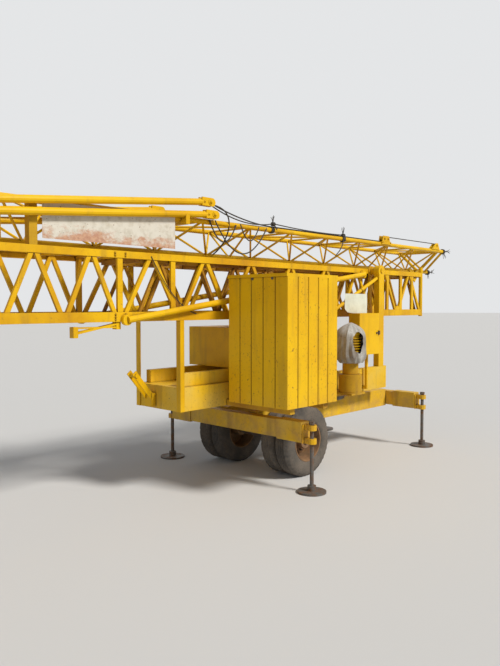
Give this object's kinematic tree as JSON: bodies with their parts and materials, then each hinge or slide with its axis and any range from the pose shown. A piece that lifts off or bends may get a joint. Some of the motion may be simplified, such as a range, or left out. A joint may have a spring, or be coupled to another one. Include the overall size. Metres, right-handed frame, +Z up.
{
  "type": "self-erecting tower crane",
  "caption": "Small self-erecting tower crane folded for the road: lattice mast and jib over a slewing platform on a two-wheel chassis with screw jacks.",
  "frame": {"origin": "on the ground below the middle of the whole length, on the centre line between the jacks", "axes": "+X along the crane from the mast's head to the jib's nose, +Y across it away from the side with the machine house, +Z up"},
  "size_m": [11.95, 3.1999, 3.775],
  "materials": {
    "yellow_paint": "satin",
    "dark_yellow_paint": "satin",
    "bare_steel": "satin",
    "dusty_tyre": "matte",
    "white_paint": "satin",
    "film": "matte",
    "paper": "matte",
    "dark_cable": "matte"
  },
  "bodies": {
    "chassis": {"chassis_frame": "yellow_paint", "front_cross_beam": "yellow_paint", "rear_cross_beam": "yellow_paint", "jack_brackets": "yellow_paint", "axle": "bare_steel", "ring_base": "bare_steel"},
    "jack_nf": {"near_front_jack": "bare_steel"},
    "jack_ff": {"far_front_jack": "bare_steel"},
    "jack_nr": {"near_rear_jack": "bare_steel"},
    "jack_fr": {"far_rear_jack": "bare_steel"},
    "wheels_near": {"near_tyres": "dusty_tyre", "near_rims": "dark_yellow_paint"},
    "wheels_far": {"far_tyres": "dusty_tyre", "far_rims": "dark_yellow_paint"},
    "platform": {"turntable": "dark_yellow_paint", "rear_fork": "yellow_paint", "front_deck": "yellow_paint", "front_posts": "yellow_paint", "tow_bracket": "yellow_paint", "winch_housing": "yellow_paint", "machine_house": "yellow_paint", "house_roof": "yellow_paint", "house_arms": "dark_yellow_paint", "derricks": "yellow_paint", "control_cabinet": "yellow_paint", "slew_drive": "bare_steel", "drive_cover": "film", "notice_sheet": "paper"},
    "mast": {"mast_near_side": "yellow_paint", "mast_far_side": "yellow_paint", "mast_top_web": "yellow_paint", "mast_bottom_web": "yellow_paint", "inner_mast": "dark_yellow_paint", "mast_head": "yellow_paint", "mast_foot": "yellow_paint", "side_struts": "yellow_paint", "hanging_link": "yellow_paint", "jib_rest": "dark_yellow_paint"},
    "jib": {"jib_near_side": "yellow_paint", "jib_far_side": "yellow_paint", "jib_low_chord": "yellow_paint", "jib_top_web": "yellow_paint", "jib_root": "yellow_paint", "jib_nose": "yellow_paint", "nose_sheave": "bare_steel", "tie_tubes": "yellow_paint", "tie_saddle": "yellow_paint", "name_board": "white_paint", "pulley_blocks": "yellow_paint", "taut_rope": "bare_steel", "slack_cables": "dark_cable"}
  },
  "joints": [
    {"name": "near_front_jack_screw", "type": "slide", "parent": "chassis", "child": "jack_nf", "axis": [0, 0, 1], "range_m": [0, 0.15]},
    {"name": "far_front_jack_screw", "type": "slide", "parent": "chassis", "child": "jack_ff", "axis": [0, 0, 1], "range_m": [0, 0.15]},
    {"name": "near_rear_jack_screw", "type": "slide", "parent": "chassis", "child": "jack_nr", "axis": [0, 0, 1], "range_m": [0, 0.15]},
    {"name": "far_rear_jack_screw", "type": "slide", "parent": "chassis", "child": "jack_fr", "axis": [0, 0, 1], "range_m": [0, 0.15]},
    {"name": "near_wheels", "type": "hinge", "parent": "chassis", "child": "wheels_near", "pos_m": [0.925, 0, 0.5], "axis": [0, 1, 0], "continuous": true},
    {"name": "far_wheels", "type": "hinge", "parent": "chassis", "child": "wheels_far", "pos_m": [0.925, 0, 0.5], "axis": [0, 1, 0], "continuous": true},
    {"name": "slewing", "type": "hinge", "parent": "chassis", "child": "platform", "pos_m": [2.075, 0, 1], "axis": [0, 0, 1], "continuous": true},
    {"name": "mast_raising", "type": "hinge", "parent": "platform", "child": "mast", "pos_m": [3.165, 0, 3], "axis": [0, 1, 0], "range_deg": [0, 65]},
    {"name": "jib_folding", "type": "hinge", "parent": "mast", "child": "jib", "pos_m": [-5.825, 0, 3.2], "axis": [0, -1, 0], "range_deg": [0, 90]}
  ]
}
